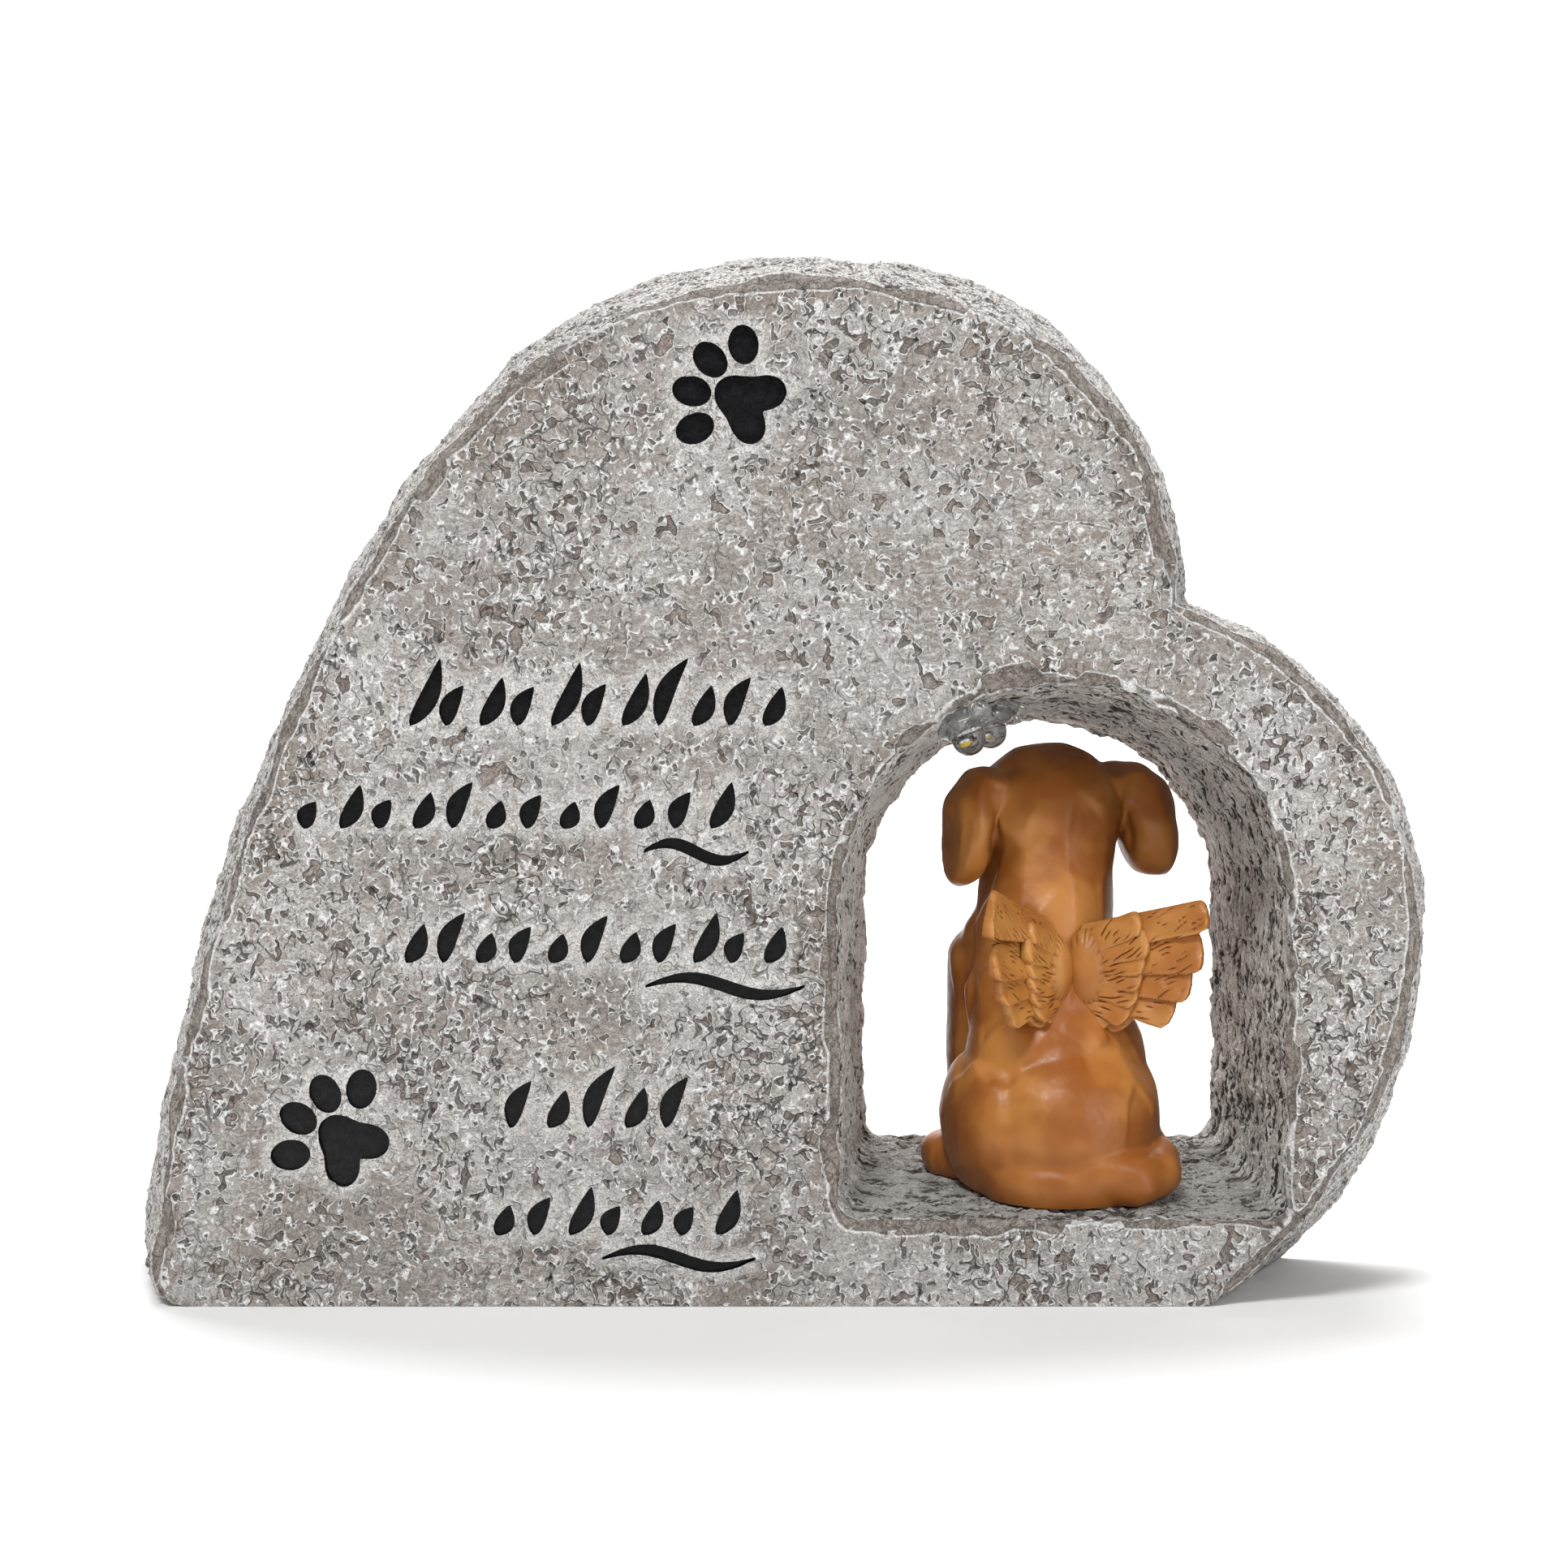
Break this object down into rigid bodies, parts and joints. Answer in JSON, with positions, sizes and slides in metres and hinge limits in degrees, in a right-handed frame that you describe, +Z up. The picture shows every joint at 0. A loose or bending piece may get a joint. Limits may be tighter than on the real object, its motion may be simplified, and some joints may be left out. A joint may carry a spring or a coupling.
{
  "type": "solar pet memorial stone",
  "caption": "Heart-shaped garden memorial stone with an arched window that holds a winged sitting dog under clear solar-powered bulbs; paw prints and rows of strokes on the front.",
  "frame": {"origin": "on the underside, below the middle of the whole object's box", "axes": "+Z up, +X to the right seen from the front, the carved front face towards -Y"},
  "size_m": [0.2102, 0.0552, 0.1647],
  "materials": {
    "weathered_stone": "rough, pitted, dry-brushed pale over grey-brown; the carving is painted gloss black",
    "caramel_resin": "satin translucent caramel resin",
    "clear_epoxy": "clear, glossy",
    "black_plastic": "fine matt",
    "solar_cell_blue": "dark blue cell under clear resin"
  },
  "bodies": {
    "root": {"stone": "weathered_stone", "dog_figure": "caramel_resin", "led_front": "clear_epoxy", "led_back": "clear_epoxy", "panel_frame": "black_plastic", "solar_cell": "solar_cell_blue"}
  },
  "joints": []
}
